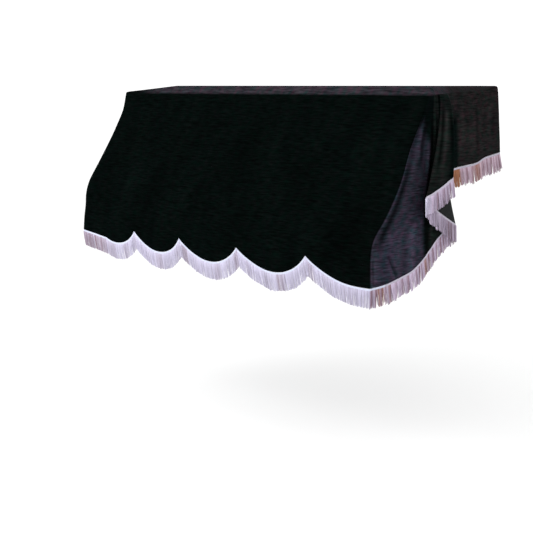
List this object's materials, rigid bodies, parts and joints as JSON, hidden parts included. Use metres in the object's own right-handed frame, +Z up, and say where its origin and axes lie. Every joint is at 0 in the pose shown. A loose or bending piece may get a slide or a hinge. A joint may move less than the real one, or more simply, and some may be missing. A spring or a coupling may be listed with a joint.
{
  "type": "piano top cover",
  "caption": "Fitted velvet cover draped over the lid of an upright piano, with a scalloped, fringed front drop, gathered front corners, side drops and a short back flap.",
  "frame": {"origin": "centre of the underside of the flat top, where it lies on the lid", "axes": "+X to the viewer's right along the front, +Y to the back, +Z up"},
  "size_m": [1.6693, 0.7212, 0.7144],
  "materials": {
    "velvet": "near-black green velvet, soft pile",
    "yarn": "pale lavender-white yarn, matt"
  },
  "bodies": {
    "root": {"cloth": "velvet", "fringe": "yarn"}
  },
  "joints": []
}
